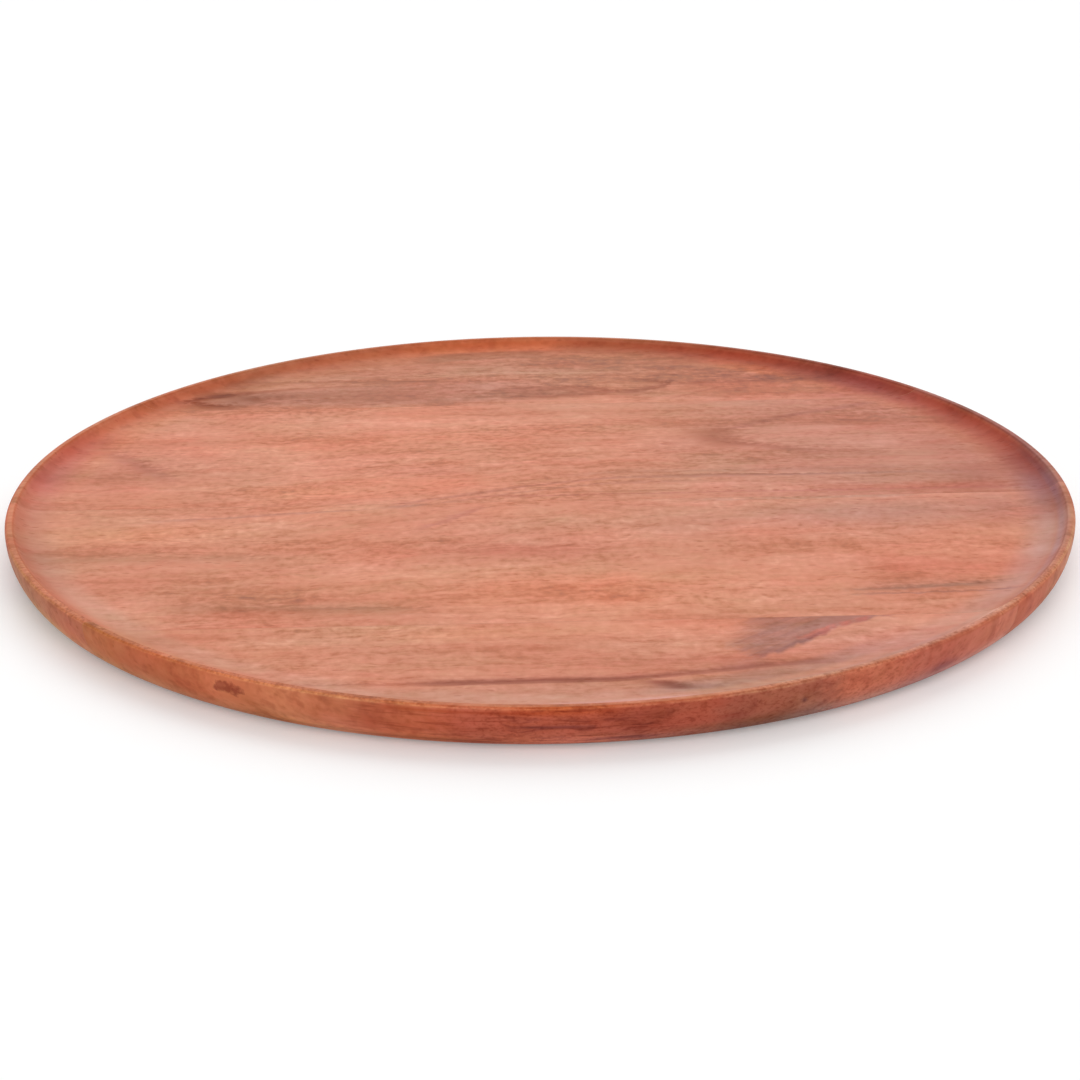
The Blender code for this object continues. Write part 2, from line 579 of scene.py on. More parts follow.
def soak_wall_and_paint_light(wood):
    """Oil and painted shade in the wall, its foot made paler by a painted reflection of the paper, and lines
    along the grain at the back.
    """
    # Partly painted shade: the outer wall is made darker and redder than the floor.
    wood.tint(wood.wall, WALL_OIL_AND_SHADE)
    # Painted reflection: the foot of the wall is made paler, as light thrown up from the white paper would
    # make it.
    wood.stain_wall(wood.depth.rise(*FOOT_HEIGHTS), FOOT_PAINTED_REFLECTION)
    wood.stain_wall((wood.fleck + wood.mottle).rise(0.1, -0.7), WALL_MOTTLE_STAIN)
    wall_grain = wood.grain.noise((28, 5, 0.9), wood.seed + 14, FINE_DETAIL)
    wood.stain_wall(wood.back_half * wall_grain.rise(0.1, -0.4), BACK_WALL_STAIN)


# The cove, ring and wall stains printed here are partly painted shade.
print("oil stains: cove", COVE_OIL_AND_SHADE, "ring", RING_OIL_AND_SHADE, "wall", WALL_OIL_AND_SHADE)

# %% [markdown]
# ## Painted sheen in the front cove, and a worn lip
# The pale haze at the foot of the front cove is a painted sheen, a dark line just inside the lip is painted
# shade, and handling has rubbed the outer edge of the lip pale. Edge wear is often read from the curve of the
# mesh, which shifts with the mesh. The lip is at a known height and radius, so the wear is placed by those.

# %% Paint the sheen in the cove and wear the lip
COVE_PAINTED_SHEEN = (0.99, 1.15, 1.25)
COVE_PAINTED_SHEEN_RIGHT = (0.94, 0.89, 0.9)
PAINTED_SHEEN_RING = (150, 158, 3)
LIP_STAIN = (0.91, 0.78, 0.66)
LIP_SPECK_STAIN = (0.77, 0.72, 0.7)
LIP_SPARK_STAIN = (1.1, 1.2, 1.2)
LIP_PAINTED_SHADE = (0.82, 0.81, 0.79)
LIP_SHADE_LINE = (161.4, 0.8)
WORN_STAIN = (1.2, 1.55, 1.6)
WORN_EDGE = (LIP_MM - 0.8, LIP_MM - 0.45)


def paint_cove_sheen(wood):
    """A painted sheen at the foot of the front cove, greyer to the right."""
    # Painted sheen: the foot of the front cove is made paler, and dimmed and greyed at the right.
    painted_sheen = wood.radius.within(*PAINTED_SHEEN_RING) * wood.front_half * wood.shown
    wood.tint(painted_sheen, COVE_PAINTED_SHEEN)
    wood.tint(painted_sheen * wood.along.rise(75, 120), COVE_PAINTED_SHEEN_RIGHT)


def wear_lip(wood):
    """Oil, specks and sparks on the lip, a painted shade line inside it, and a pale rubbed edge outside."""
    wood.tint(wood.lip, LIP_STAIN)
    sprinkle = wood.place.noise((1.0, 1.0, 1.0), wood.seed)
    front_lip = wood.lip * wood.front_half
    middle_front = wood.along.within(-32, 48, 10) * wood.front_half
    wood.tint(front_lip * sprinkle.rise(0.05, -0.3) * (1 - middle_front), LIP_SPECK_STAIN)
    wood.tint(front_lip * sprinkle.rise(0.1, 0.4), LIP_SPARK_STAIN)
    # Painted shade: a dark line along the inner edge of the lip at the front left.
    painted_lip_shade = wood.radius.bell(*LIP_SHADE_LINE) * wood.along.within(-85, -22, 10)
    wood.tint(painted_lip_shade * wood.front_half * (wood.fleck + 0.9), LIP_PAINTED_SHADE)
    handled = wood.side.rise(0.1, -0.2)
    rubbed = wood.place.noise((1.1, 1.1, 1.1), wood.seed + 12) * 0.8 + 0.7
    wood.stain_wall(wood.depth.rise(*WORN_EDGE) * handled * rubbed, WORN_STAIN)


print("worn edge of the lip from", [round(height, 2) for height in WORN_EDGE], "mm up")

# %% [markdown]
# ## Sheen
# Oil leaves a satin sheen, rougher over open pores. A clear coat would suit lacquer, but oil lies in the wood
# and not on it. So the sheen is the wood's own roughness, and a slight bump sinks the pores.

# %% Finish a board's wood
PORE_SINK = {"Strength": 0.25, "Distance": 0.0002}
OIL_ROUGHNESS = 0.47
OIL_SHEEN = {"Specular IOR Level": 0.04}


def finish_wood(wood):
    """Adds pores, oil, wear, painted sheen and painted shade to a board's wood, and closes its material."""
    pore = open_pores(wood)
    soak_cove_and_paint_shade(wood)
    soak_wall_and_paint_light(wood)
    paint_cove_sheen(wood)
    wear_lip(wood)
    bump = wood.start.node("Bump", {}, {**PORE_SINK, "Height": wood.fibre * 0.3 - pore})
    roughness = OIL_ROUGHNESS - wood.strand * 0.06 + pore * 0.12
    oiled = {"Base Color": wood.colour, "Roughness": roughness, "Normal": bump, **OIL_SHEEN}
    shader = wood.start.node("BsdfPrincipled", {}, oiled)
    wood.start.node("OutputMaterial", {}, {"Surface": shader})
    wood.tell("finish")
    return wood.material


print("oil roughness about", OIL_ROUGHNESS)

# %% [markdown]
# ## The front board: a dark wedge
# The board nearest the eye is the palest. Its plainest mark is a dark wedge that the glue line cuts off, with
# strokes that lean across it and red teeth along its right edge. A painted picture could show it, but three
# soft edges multiplied together need none, and the mark goes right through the board.

# %% Saw the front board and stain its wedge
front = saw_board("front_board_oiled_wood", 0.61, 1)
slant = {0: front.along - front.flat_y * 1.15, 1: front.flat_y, 2: front.depth}
stroke = front.start.node("CombineXYZ", {}, slant).noise((2.4, 16, 4), 1)
tooth = front.place.noise((5, 60, 20), 3)
left_edge = front.along - 52 + front.flat_y.bell(-121, 7) * 5 + stroke * 2 + front.fleck * 3
lower_edge = front.x + front.y + 76 + stroke * 3
right_lean = 56.5 + (front.flat_y + 129) * 1.17 - front.along
right_edge = right_lean + front.flat_y.bell(-102, 5) * 5 + tooth * 6
wedge = left_edge.rise(-5, 9) * lower_edge.rise(-3, 4) * right_edge.rise(-2.2, 2.2)
front.tint(wedge * (stroke * 0.6 + 0.95), (0.58, 0.62, 0.73))
front.tint(wedge * front.flat_y.rise(-110, -103) * front.along.rise(74, 66), (1.1, 1.06, 1.05))
front.tint(wedge * front.along.rise(70, 84), (1.12, 1.05, 1.08))
teeth = right_edge.within(0.5, 6, 1.5) * front.flat_y.within(-117, -101, 2) * tooth.rise(-0.3, 0.1)
front.tint(teeth, (1.18, 0.84, 0.82))
front.tint(right_edge.bell(1.5, 1.5) * front.y.within(-131, -112, 2) * (stroke + 0.7), (0.8, 0.76, 0.82))
front.patch((52, -132), (6, 3), (0.88, 0.86, 0.93))
front.tell("wedge")

# %% [markdown]
# ## The front board: a long streak and a mark
# A dark growth layer runs along the front cove and bends away to the right, and a short mark leans before it.
# A drawn curve would sit on the wood. A bell across a bending line stains the wood itself.

# %% Stain the long streak and the mark
bend = front.along.rise(8, 75) * 9 - 141.4
line = front.y - bend
front.tint(line.bell(0.2, 0.9) * front.along.within(-80, 66, 10), (0.84, 0.77, 0.74))
soft_line = front.flat_y + front.strand * 0.7 - bend
broad_line = soft_line.rise(-2.3, -1.1) * soft_line.rise(3.4, 0.0)
front.tint(broad_line * front.along.within(-36, 75, 8), (0.79, 0.7, 0.71))
front.tint(broad_line * front.along.within(-36, 28, 12), (0.8, 0.72, 0.68))
front.tint(line.rise(-0.8, 0.4) * line.rise(6.5, 0.6) * front.x.within(-40, 36, 14), (0.92, 0.86, 0.86))
leaning = front.along - 28.6 + (front.flat_y + 145) * 1.15 + front.fleck * 2
front.tint(leaning.bell(0, 4.4) * front.flat_y.within(-148.6, -142.6, 1.2), (0.55, 0.36, 0.33))
front.streak((32, -146), (44, -147.2), 1.8, (0.85, 0.8, 0.82), 4)
front.tell("streak and mark")

# %% [markdown]
# ## The front board: soft tones
# Between the marks the floor of the well is paler by the glue line, greyer at the right and browner at the
# left. More noise could vary it, but noise falls anywhere. Soft ovals put each tone in its place.

# %% Stain the soft tones of the front board
front.patch((-12, -147), (20, 4), (0.92, 0.89, 0.86))
front.patch((49, -136.5), (8, 3.5), (0.88, 0.88, 0.95))
front.patch((-75, -120), (16, 6), (0.92, 0.93, 0.86))
front.patch((-30, -109), (30, 6), (0.97, 0.97, 0.88))
front.patch((32, -130), (30, 4), (0.96, 0.89, 0.92))
front.patch((15, -147), (60, 7), (0.94, 1.0, 1.06))
front.patch((92, -124), (28, 13), (0.96, 0.92, 1.05))
front.streak((-115, -103.3), (-25, -103.3), 1.2, (1.04, 1.1, 1.09))
front.patch((15, -106), (45, 6), (1.09, 1.1, 1.09))
front.tell("soft tones")

# %% [markdown]
# ## The front board: knots in the wall
# Two small knots show in the outer wall: a ragged dark one at the left, and a pale one with a dark eye at the
# right. Discs could be let in, but a real knot grades into the grain, so both are soft ovals.

# %% Stain the knots
x = front.x
along = front.along
height = front.depth
LEFT_KNOT_X = -87.4
RIGHT_KNOT_X = 64
knot_x = (along - LEFT_KNOT_X) / 4.6
knot_z = (height - 10) / 2.2
knot = (1 - knot_x * knot_x - knot_z * knot_z + front.fleck * 1.6).rise(0, 0.7)
front.stain_wall(knot, (0.56, 0.42, 0.46))
front.stain_wall(along.bell(-89, 1.8) * height.bell(10.6, 0.7), (1.2, 1.4, 1.4))
front.stain_wall(along.bell(RIGHT_KNOT_X, 3.2) * height.bell(8.3, 3), (1.1, 1.28, 1.24))
front.stain_wall(along.bell(63.9, 0.9) * height.bell(8.3, 0.9), (0.47, 0.44, 0.59))
print("knots at x", LEFT_KNOT_X, "and", RIGHT_KNOT_X, "mm")

# %% [markdown]
# ## The front board: tones along the wall
# The wall runs from orange at the left over deep red in the middle to brown by the right knot. One ramp along
# x could do it, but the tones change with height as well. Soft spans can overlap, and some reach only part of
# the way up.

# %% Stain the wall
WALL_STAINS = (
    (x.within(-30, 46, 8), (0.9, 0.82, 0.95)),
    (x.within(42, 72, 5), (0.75, 0.82, 0.9)),
    (x.within(76, 92, 4), (1.12, 1.2, 1.16)),
    (x.within(-95, -50, 6), (1.12, 1.26, 1.3)),
    (x.within(78, 130, 5), (1.0, 1.05, 1.1)),
    (x.within(20, 62, 8), (0.94, 0.88, 0.8)),
    (x.within(-45, 14, 8), (1.12, 1.13, 1.05)),
    (along.within(-136, -118, 5), (1.05, 1.19, 1.12)),
    (along.rise(-48, -80), (1.0, 1.06, 0.87)),
    (x.within(14, 30, 5) * height.within(7, 12.5, 1), (0.93, 0.94, 0.96)),
    (x.within(-76, -52, 5) * height.rise(5, 7), (1.1, 1.24, 1.24)),
    (x.within(-75, 15, 8) * height.rise(6, 3.5), (1.24, 1.2, 1.16)),
    (x.within(46, 118, 8) * height.rise(7.5, 4.5), (0.85, 0.73, 0.7)),
    (x.within(0, 58, 10) * height.rise(7, 4.5), (0.84, 0.82, 0.68)),
    (x.bell(0, 16) * height.rise(10.5, 12.5), (1.03, 0.87, 0.6)),
    (along.rise(-100, -135) * height.rise(6, 4), (0.95, 0.88, 0.8)),
    (along.bell(105, 4) * height.bell(5.5, 2), (0.64, 0.65, 0.8)),
    (along.rise(95, 130) * height.rise(5, 8), (1.02, 1.12, 1.12)),
    (along.rise(96, 110) * height.bell(13.2, 0.5), (0.86, 0.78, 0.7)),
)
for mask, stain in WALL_STAINS:
    front.stain_wall(mask, stain)
front.tell("wall")

# %% [markdown]
# ## The front board: lines in the wall
# The middle of the wall is cut along the grain, and dark fibres lie in it as thin lines, with dots to the
# right, where they were cut end on. Under the lip the edge is chipped pale. The plainest three lines are
# placed one by one, and the rest is noise with lumps of the right shape.

# %% Line and stipple the wall
front.stain_wall(x.within(-12, 8, 5) * height.bell(8, 0.6), (0.52, 0.49, 0.62))
front.stain_wall(x.within(9, 23, 4) * height.bell(3.4, 0.5), (0.62, 0.56, 0.67))
front.stain_wall(x.within(-45, -5, 5) * height.bell(12.2, 0.5), (0.88, 0.74, 0.64))
fine_line = front.fibre.rise(0.0, -0.35) * x.within(-22, 26, 8)
front.stain_wall(fine_line, (0.75, 0.7, 0.77))
wall_line = front.place.noise((14, 4, 0.7), 6).rise(0.0, -0.35)
front.stain_wall(wall_line * x.within(-55, 28, 12), (0.78, 0.7, 0.68))
stipple = front.place.noise((1.2, 1.2, 0.7), 5).rise(0.05, -0.35)
front.stain_wall(stipple * x.within(-30, 100, 12), (0.82, 0.74, 0.72))
chipped = front.place.noise((2.5, 2.5, 0.6), 7) * 1.4 + 0.7
front.stain_wall(height.bell(13.3, 0.35) * chipped * x.within(-62, 62, 10), (1.22, 1.5, 1.45))
front.tell("lines")

# %% [markdown]
# ## The front board: its rim
# The painted sheen in the cove and the colour of the lip change along the rim, paler at the right and browner
# at the left. Each stain takes a span of x between two distances from the axis, and so follows the round.

# %% Stain the rim of the front board
# Painted sheen: most of these stains make the cove's sheen paler or darker along x, and tune the lip's tone.
front.rim((30, 130), (157.5, 163), (0.92, 1.15, 1.33))
front.rim((25, 85), (147, 154), (0.84, 0.88, 0.95))
front.rim((-85, -2), (159, 162.5), (0.9, 0.92, 0.84))
front.rim((-48, -12), (159, 162.5), (0.84, 0.84, 0.8))
front.rim((-128, -98), (158.5, 163), (1.08, 1.3, 1.32))
front.rim((-2, 32), (156, 163), (1.17, 1.33, 1.75))
front.rim((-64, -46), (154, 163), (1.06, 1.14, 1.2))
front.rim((-128, -108), (140, 160), (0.91, 0.91, 0.85))
front.rim((60, 130), (160, 163.5), (1.24, 1.5, 1.7))
front.tint(front.lip * front.along.rise(62, 75), (0.91, 0.93, 0.97))
front.tint(front.lip * front.along.rise(-105, -118), (0.86, 0.84, 0.75))
front_wood = finish_wood(front)

# %% [markdown]
# ## The front middle board: zones
# The second board from the front is quieter. Its left is yellowish, a reddish patch lies near the middle, and
# its right is greyer. One broad noise gives zones too, but not in these places, so they are soft ovals again.

# %% Saw the front middle board and stain its zones
second = saw_board("front_middle_board_oiled_wood", 0.58, 2)
second.patch((-125, -27), (34, 9), (1.03, 1.04, 0.92))
second.patch((-135, -11), (20, 6), (0.88, 0.86, 0.78))
second.patch((-75, -30), (22, 12), (1.0, 1.08, 1.08))
second.patch((-62, -9), (16, 6), (1.02, 1.14, 1.12))
second.patch((-6, -46), (24, 6), (0.88, 0.73, 0.72))
second.patch((-3, -13), (13, 7), (1.07, 1.17, 1.19))
second.patch((0, -70), (80, 11), (1.09, 1.11, 1.08))
second.patch((15, -88), (42, 14), (1.11, 1.14, 1.11))
second.patch((45, -31), (16, 8), (0.92, 0.91, 0.92))
second.patch((78, -91), (16, 6), (0.95, 0.91, 0.9))
second.patch((90, -20), (38, 11), (0.9, 0.93, 1.04))
second.patch((112, -64), (26, 8), (0.97, 0.86, 0.87))
second.patch((120, -20), (28, 14), (0.87, 0.93, 0.99))
second.patch((143, -16), (11, 15), (0.88, 0.86, 0.94))
second.tell("zones")

# %% [markdown]
# ## The front middle board: streaks
# Short brown streaks lie near the two glue lines, and a greenish band crosses the left. A streak is a bell
# across a straight line, and the fraying place gives it a ragged edge that a drawn line would lack.

# %% Stain the streaks of the front middle board
second.streak((-150, -46), (-78, -49), 4, (0.81, 0.88, 0.82), 12)
second.streak((-37, -27), (-18, -9), 2.5, (0.87, 0.81, 0.86), 4)
second.streak((-48, -7), (-36, -6), 1.6, (0.78, 0.8, 0.87), 5)
second.streak((-118, -16), (-55, -9), 1.2, (0.82, 0.82, 0.87), 12)
second.streak((47, -6), (115, -6), 1.2, (0.87, 0.95, 1.0))
second.streak((-107, -86), (-38, -91), 4, (0.82, 0.87, 0.83), 12)
second.streak((-70, -87.5), (-36, -90), 1.2, (0.86, 0.86, 0.84), 8)
second.streak((92, -80), (130, -80), 4.5, (0.84, 0.88, 0.91))
second.streak((86, -82.5), (128, -79), 1.3, (0.69, 0.71, 0.71), 6)
second.streak((88, -85.7), (132, -85.2), 0.7, (0.74, 0.75, 0.82))
second.tell("streaks")

# %% [markdown]
# ## The front middle board: its two ends
# At the right the cove of this board is a pale grey that turns to violet brown towards the plate's middle,
# which is partly painted shade. A material for each end would leave a seam, so the masks from before are
# narrowed along x and y.

# %% Stain the ends of the front middle board
right_ring = second.ring * second.along.rise(100, 150)
# Partly painted shade: the right end of the cove is greyed, then turned violet brown.
second.tint(right_ring, (0.85, 1.12, 1.45))
second.tint(right_ring * second.flat_y.rise(-46, -14), (0.77, 0.66, 0.66))
second.tint(right_ring * second.flat_y.rise(-22, -5), (0.82, 0.72, 0.86))
inner_edge = second.radius.within(160, 163, 0.8) * second.along.rise(120, 150)
second.tint(inner_edge, (0.95, 1.1, 1.4))
second.tint(second.ring * second.along.rise(-120, -155), (0.83, 0.81, 0.86))
second.tint(second.lip * second.along.rise(100, 150), (0.91, 1.06, 1.22))
# Painted reflection: the lower wall at the left front is made paler, as light from the white paper would make
# it.
low = second.depth.rise(10, 5) * second.flat_y.rise(-40, -60)
second.stain_wall(low * second.along.rise(20, -20), (1.16, 1.42, 1.3))
second.stain_wall(second.flat_y.within(-86, -45, 8), (1.0, 1.2, 1.14))
left_end = second.along.rise(-110, -135) * second.flat_y.rise(-20, -70)
second.stain_wall(left_end, (0.96, 1.12, 1.08))
right_end = second.along.rise(110, 135) * second.flat_y.within(-76, -36, 14)
second.stain_wall(right_end * second.depth.rise(6, 10), (1.1, 1.42, 1.47))
second_wood = finish_wood(second)

# %% [markdown]
# ## The back middle board: a pointed figure
# On the third board a pointed figure opens to the right, where the saw cut through a cone of growth layers.
# True rings cut by the floor would give it, but they are hard to aim. A dark point and four streaks that open
# from it are quicker to place.

# %% Saw the back middle board and stain its pointed figure
third = saw_board("back_middle_board_oiled_wood", 0.58, 3)
third.patch((60, 57), (8, 9), (0.68, 0.57, 0.48))
third.patch((65, 48), (7, 5), (0.74, 0.63, 0.54))
third.streak((64, 61), (91, 77), 2.0, (0.82, 0.74, 0.74), 4)
third.streak((89, 76), (119, 87.5), 1.8, (0.82, 0.76, 0.78), 4)
third.streak((66, 47), (92, 38.5), 2.4, (0.82, 0.73, 0.7), 4)
third.streak((90, 38.5), (116, 35), 3.4, (0.9, 0.86, 0.84), 6)
third.patch((92, 57), (20, 9), (1.09, 1.11, 1.14))
third.patch((45, 45), (12, 10), (0.92, 0.89, 0.9))
third.tell("pointed figure")

# %% [markdown]
# ## The back middle board: a wandering line
# In front of the figure a thin dark line wanders across the whole board, with a red band beside it at the
# right. It climbs once, so an eased step in y along x is all that the straight line needs to wander.

# %% Stain the wandering line and the lines beside it
wave = third.y + 15 - third.x.rise(-90, 32) * 31
third.tint(wave.bell(0, 1.2) * third.x.within(-60, 130, 20), (0.84, 0.82, 0.86))
third.tint(wave.bell(-5, 1.0) * third.x.within(-50, 50, 15), (0.89, 0.86, 0.9))
third.tint(wave.bell(5, 2.0) * third.x.within(10, 120, 15), (0.91, 0.93, 0.95))
third.streak((44, 17.2), (90, 16.6), 0.9, (0.78, 0.72, 0.67), 8)
third.streak((10, 2.8), (48, 3.2), 0.7, (0.86, 0.82, 0.77), 8)
third.streak((96, 1.5), (148, 3), 3.2, (1.0, 0.84, 0.8), 12)
third.streak((-17, 0.5), (150, 0.5), 0.8, (0.91, 0.81, 0.86), 12)
third.streak((-142, 52), (-118, 23), 5.5, (0.84, 0.78, 0.8), 5)
third.tell("lines")

# %% [markdown]
# ## The back middle board: soft tones
# The middle of this board is paler, and both its ends are darker and redder. They are soft ovals, as on the
# front boards, and one broad change along x for the greyer right half.

# %% Stain the soft tones of the back middle board
third.patch((3, 66), (28, 9), (1.05, 1.09, 1.12))
third.patch((-35, 25), (16, 5), (0.95, 0.88, 0.9))
third.patch((-55, 58), (48, 26), (1.09, 1.1, 1.1))
third.patch((-30, 14), (45, 12), (1.09, 1.07, 1.07))
third.patch((-125, 40), (22, 16), (0.93, 0.9, 0.92))
third.patch((-137, 22), (14, 10), (0.94, 0.86, 0.86))
third.patch((-75, 8), (20, 6), (1.14, 1.18, 1.16))
third.patch((80, 3), (12, 5), (1.14, 1.14, 1.16))
third.patch((14, 8), (14, 6), (1.09, 1.07, 1.08))
third.patch((126, 72), (12, 10), (1.07, 1.08, 1.18))
third.patch((143, 14), (13, 20), (0.84, 0.73, 0.74))
third.patch((137, 44), (9, 12), (0.92, 0.87, 0.87))
third.tint(third.x.rise(25, 100), (0.85, 0.86, 0.93))
third.tell("soft tones")

# %% [markdown]
# ## The back middle board: its two ends
# At the right the cove goes from dark red at the back to a greyed violet at the front, which is partly
# painted shade, and at the left it is brown. The ring mask is narrowed along y for each step, so that the
# tones run into each other.

# %% Stain the ends of the back middle board
right_ring = third.ring * third.along.rise(85, 135)
# Partly painted shade: the right end of the cove is darkened and greyed.
third.tint(right_ring, (0.78, 0.52, 0.55))
third.tint(right_ring * third.flat_y.rise(38, 24), (0.74, 0.62, 0.66))
third.tint(right_ring * third.flat_y.rise(18, 0), (0.98, 1.6, 2.1))
third.tint(right_ring * third.flat_y.within(60, 84, 14), (1.08, 1.08, 1.16))
third.tint(right_ring * third.flat_y.rise(80, 92), (0.88, 0.94, 1.16))
right_lip = third.lip * third.along.rise(100, 150)
third.tint(right_lip, (0.85, 0.92, 1.1))
third.tint(right_lip * third.flat_y.rise(0, 40), (0.82, 0.8, 0.94))
left_ring = third.ring * third.along.rise(-110, -150)
third.tint(left_ring, (0.99, 0.98, 1.06))
third.tint(left_ring * third.flat_y.within(14, 62, 10), (0.93, 0.87, 1.08))
third.tint(left_ring * third.flat_y.rise(48, 20), (0.93, 0.8, 0.82))
inner_edge = third.radius.within(160, 163, 0.8) * third.along.rise(140, 152)
third.tint(inner_edge * third.flat_y.rise(48, 20), (0.9, 1.12, 1.38))
third_wood = finish_wood(third)

# %% [markdown]
# ## The back board: a long oval
# The board at the back is the darkest. It carries a long oval, a growth layer that the floor just grazes.
# Streaks could follow its edge, but half an ellipse on each side of a middle line gives all of it at once,
# dark near both points and faint between them.

# %% Saw the back board and stain its oval
back = saw_board("back_board_oiled_wood", 0.46, 4)
span = (back.x + 34.5) / 84.5
bulge = 1 - span * span
oval = bulge.math("SQRT", bulge) * 14
middle = back.y - 101.5 - (back.x + 119) * 0.068
edge = oval - abs(middle)
well = back.radius.rise(160.5, 156.5)
back.tint(edge.rise(-3, 7) * back.x.rise(30, -20), (0.82, 0.86, 0.93))
back.tint(edge.bell(1.0, 1.8) * middle.rise(-1, 2) * back.x.rise(-40, -84) * well, (0.8, 0.68, 0.6))
back.tint(edge.bell(1.8, 2.8) * back.x.rise(-94, -110) * well, (0.6, 0.38, 0.2))
back.tint(edge.bell(1.6, 2.4) * back.x.rise(30, 46), (0.66, 0.52, 0.45))
back.tint(edge.bell(1.6, 2.4) * middle.rise(1, -3) * back.x.within(30, 44, 6), (0.8, 0.7, 0.64))
back.tell("oval")

# %% [markdown]
# ## The back board: inside the oval
# A smaller dark core lies in the right half of the oval, and the oval's points are darker still. The core is
# worked out like the oval round it. The points are soft patches, which hide where the edges meet.

# %% Stain the core and the points
tongue = 1 - (back.x - 6) * (back.x - 6) / 625
core = tongue.math("SQRT", tongue) * 8 - abs(back.y - 106)
back.tint(core.rise(-1, 3) * back.x.rise(-22, 6), (0.8, 0.68, 0.65))
back.patch((27, 106), (6, 4), (0.92, 0.84, 0.78))
back.patch((38, 103.4), (9, 2.4), (0.8, 0.7, 0.66))
back.patch((-110, 109.5), (8, 2.6), (0.7, 0.61, 0.46))
back.patch((-113, 96), (7, 2.8), (0.8, 0.7, 0.56))
back.patch((-96, 103.8), (8, 3.4), (0.66, 0.43, 0.28))
back.patch((-84, 107), (12, 4), (0.9, 0.87, 0.84))
back.patch((-70, 103.5), (4, 3), (0.92, 0.86, 0.8))
back.tell("core")

# %% [markdown]
# ## The back board: lines and tones
# Thin lines follow the upper edge of the oval, with paler wood between them, and the board is darker towards
# the back. Streaks and soft ovals do for these, as on the other boards.

# %% Stain the lines and tones of the back board
back.streak((-96, 122.5), (-27, 120.5), 1.1, (0.81, 0.77, 0.72))
back.streak((-80, 127), (10, 127), 1.2, (0.93, 0.92, 0.88))
back.streak((50, 97), (70, 109.5), 1.0, (0.88, 0.81, 0.79), 4)
back.patch((-45, 117), (40, 4), (1.05, 1.1, 1.14))
back.patch((-50, 127), (34, 3.5), (1.07, 1.14, 1.2))
back.patch((-27, 143), (13, 4.5), (0.9, 0.8, 0.72))
back.patch((-62, 131), (22, 7), (0.95, 0.88, 0.84))
back.patch((58, 97), (16, 6), (1.03, 1.09, 1.13))
back.patch((84, 118), (8, 4), (0.86, 0.85, 0.91))
back.patch((112, 96), (12, 8), (0.88, 0.8, 0.86))
back.tint(back.x.rise(40, 80), (0.98, 0.91, 0.94))
back.tint(back.flat_y.rise(112, 132), (0.88, 0.92, 0.93))
back.tell("lines and tones")

# %% [markdown]
# ## The back board: its rim
# The cove at the back is orange in the middle, goes over dark red to violet at the right, and stays brown at
# the left. The lip above it darkens to the right. The dark red and violet, the darker lip, and a dark line at
# the foot of the middle of the cove are partly painted shade. The stains take spans of x, as on the front
# board.

# %% Stain the rim of the back board
# Partly painted shade: the cove and then the lip are darkened towards the right.
back.tint(back.ring * back.along.rise(8, 58), (0.84, 0.59, 0.6))
back.tint(back.ring * back.along.rise(80, 118), (0.68, 0.76, 1.2))
back.tint(back.ring * back.along.rise(90, 120) * back.flat_y.rise(106, 94), (1.12, 1.06, 0.84))
back.tint(back.ring * back.along.rise(-60, -100), (0.93, 0.91, 0.92))
back.tint(back.lip * back.along.rise(30, 110), (0.68, 0.64, 0.8))
back.rim((68, 90), (148, 156), (1.18, 1.11, 1.0))
# Partly painted shade: a dark line at the foot of the cove in the middle.
back.rim((-38, 8), (147, 155), (0.75, 0.75, 0.71))
back.rim((-112, -90), (138, 160), (0.86, 0.9, 0.89))
back.rim((-130, -112), (150, 163), (1.02, 1.08, 1.16))
back.rim((-96, -66), (154, 163), (1.04, 1.06, 1.1))
back.rim((14, 42), (153, 161), (0.91, 0.89, 0.86))
back.rim((-42, 12), (155.5, 163), (1.22, 1.2, 1.1))
back_wood = finish_wood(back)

# %% [markdown]
# ## Glue
# The glue is a brown film a tenth of a millimetre thick. It could be see-through, but nobody could tell. It
# is close to the wood in colour, so a joint shows mostly where one figure stops and the next starts.

# %% Mix the glue and hand out the finishes
GLUE_BROWN = (0.42, 0.17, 0.1, 1)
GLUE_PALE_BROWN = (0.5, 0.2, 0.12, 1)
GLUE_CLOUD = (0.02, 0.02, 0.02)
GLUE_SHEEN = {"Roughness": 0.5, "Specular IOR Level": 0.04}
WOODS = (front_wood, second_wood, third_wood, back_wood)


def glue_finish():
    """Cured glue, cloudy along its length."""
    material = bpy.data.materials.new("cured_glue")
    start = empty_tree(material)
    cloud = start.node("TexCoord", {}, {}, "Object").noise(GLUE_CLOUD, 9)
    colour = (cloud + 0.5).mix(GLUE_BROWN, GLUE_PALE_BROWN)
    shader = start.node("BsdfPrincipled", {}, {"Base Color": colour, **GLUE_SHEEN})
    start.node("OutputMaterial", {}, {"Surface": shader})
    return material


glue = glue_finish()
for piece, wood in zip(boards.values(), WOODS):
    piece.data.materials.append(wood)
for piece in films.values():
    piece.data.materials.append(glue)
print("finishes:", [material.name for material in (*WOODS, glue)])

# %% [markdown]
# ## The paper
# The plate lies on plain white paper that takes its soft shadow. A shadow catcher would need the picture to
# be put together afterwards, so this is a real disc. A little light for the camera alone brings the lit paper
# up to white, and reflections see the same.

# %% Cut the paper
PAPER_RADIUS = 4
PAPER_SIDES = 96
skin = bmesh.new()
bmesh.ops.create_circle(skin, cap_ends=True, radius=PAPER_RADIUS, segments=PAPER_SIDES)
paper_mesh = bpy.data.meshes.new("studio_paper")
skin.to_mesh(paper_mesh)
skin.free()
studio_paper = put_in_scene("studio_paper", paper_mesh)
print("paper", 2 * PAPER_RADIUS, "m across")

# %% Whiten the paper
FLOOR_WHITE = 0.82
CAMERA_LIFT = 0.2


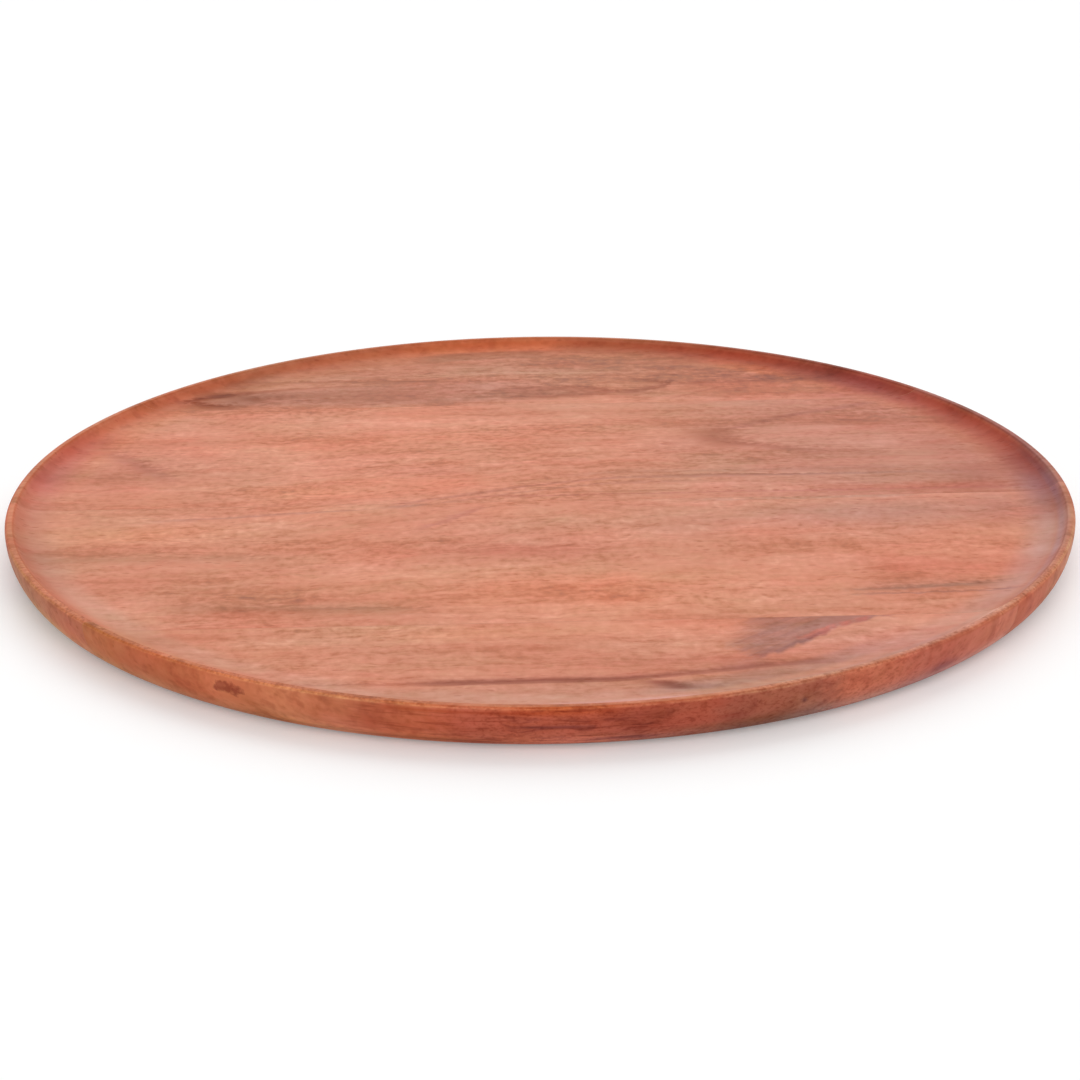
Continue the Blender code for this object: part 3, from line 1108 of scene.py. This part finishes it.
def seen_rays(start):
    """1 for rays that show a thing as it looks: straight to the camera, mirrored, or through glass."""
    path = start.node("LightPath", {}, {}, "Is Camera Ray")
    mirrored = path.math("MAXIMUM", path, path.also("Is Glossy Ray"))
    return mirrored.math("MAXIMUM", mirrored, path.also("Is Transmission Ray"))


paper = bpy.data.materials.new("white_paper")
start = empty_tree(paper)
matt = {"Base Color": (FLOOR_WHITE, FLOOR_WHITE, FLOOR_WHITE, 1), "Roughness": 0.9, "Specular IOR Level": 0}
matt_paper = start.node("BsdfPrincipled", {}, matt)
dark = start.node("Emission", {}, {"Strength": 0})
lift = start.node("Emission", {}, {"Strength": CAMERA_LIFT})
added = start.node("MixShader", {}, {0: seen_rays(start), 1: dark, 2: lift})
both = start.node("AddShader", {}, {0: matt_paper, 1: added})
start.node("OutputMaterial", {}, {"Surface": both})
paper_mesh.materials.append(paper)
print("paper white", FLOOR_WHITE, "with a lift of", CAMERA_LIFT, "for the camera")

# %% [markdown]
# ## The room
# A white studio fills the shadows from every side. A picture of a studio could light the plate, but it would
# be one more file. A plain white world does, dim as a light and full white where it is seen.

# %% Light the room
ROOM_LIGHT = 0.34
WHITE = (1, 1, 1, 1)
room = bpy.data.worlds.new("white_room")
bpy.context.scene.world = room
start = empty_tree(room)
dim = start.node("Background", {}, {"Color": WHITE, "Strength": ROOM_LIGHT})
white = start.node("Background", {}, {"Color": WHITE, "Strength": 1})
walls = start.node("MixShader", {}, {0: seen_rays(start), 1: dim, 2: white})
start.node("OutputWorld", {}, {"Surface": walls})
print("room light", ROOM_LIGHT)

# %% [markdown]
# ## Soft lamps
# A product photograph has large soft lights. Area lamps would do, but their light falls off. Three broad suns
# stand in: one overhead, one at the front for the outer wall, one behind for the low sheen across the floor.
# The front one is kept out of reflections, so the wall stays deep.

# %% Hang the softboxes
def softbox(name, share, spread, tilt, turn, glare):
    """A broad lamp overhead, tilted to the front and turned aside, giving a share of full light."""
    lamp = bpy.data.lights.new(name, "SUN")
    lamp.energy = share * math.pi
    lamp.angle = math.radians(spread)
    placed = put_in_scene(name, lamp)
    placed.rotation_euler = (math.radians(tilt), math.radians(turn), 0)
    placed.visible_glossy = glare
    print(name, "gives", share)


softbox("overhead_softbox", share=0.2, spread=70, tilt=0, turn=20, glare=True)
softbox("front_softbox", share=0.34, spread=60, tilt=52, turn=0, glare=False)
softbox("back_softbox", share=0.36, spread=60, tilt=-43, turn=0, glare=True)
bpy.context.scene.view_settings.view_transform = "Standard"

# %% [markdown]
# ## The camera
# The view was fitted to the outline of the plate: its height over the table, its distance, and a small roll.
# A constraint could aim the camera, but it has no roll, so its directions are worked out from the angles.

# %% Place the camera
from mathutils import Matrix, Vector

CAMERA_ELEVATION = math.radians(20.841)
CAMERA_AZIMUTH = math.radians(-1.81)
CAMERA_DISTANCE = 0.825
AIM_ACROSS = math.radians(-0.004)
AIM_UP = math.radians(-0.26)
CAMERA_ROLL = math.radians(-0.527)
LENS = 87.19

away = Vector((math.sin(CAMERA_AZIMUTH) * math.cos(CAMERA_ELEVATION),
               -math.cos(CAMERA_AZIMUTH) * math.cos(CAMERA_ELEVATION),
               math.sin(CAMERA_ELEVATION)))
across = Vector((math.cos(CAMERA_AZIMUTH), math.sin(CAMERA_AZIMUTH), 0))
upward = across.cross(-away)
aim = (-away + AIM_ACROSS * across + AIM_UP * upward).normalized()
level = aim.cross(Vector((0, 0, 1))).normalized()
plumb = level.cross(aim)
right = math.cos(CAMERA_ROLL) * level + math.sin(CAMERA_ROLL) * plumb
up = math.cos(CAMERA_ROLL) * plumb - math.sin(CAMERA_ROLL) * level
view = bpy.data.cameras.new("photo_view")
view.lens = LENS
camera = put_in_scene("photo_view", view)
turned = Matrix((right, up, -aim)).transposed().to_4x4()
camera.matrix_world = Matrix.Translation(CAMERA_DISTANCE * away) @ turned
bpy.context.scene.camera = camera
print("camera at", [round(value, 3) for value in camera.matrix_world.translation])

# %% [markdown]
# ## The pieces on the root
# Nothing on a plate moves, so every piece rides on the root, and the packed part that it stands for is
# hidden.

# %% Tie the pieces to the frame
import json

for node, piece in {**boards, **films}.items():
    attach(piece, "root")
    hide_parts(node)
    node + "_wood" if node in boards else "glue"
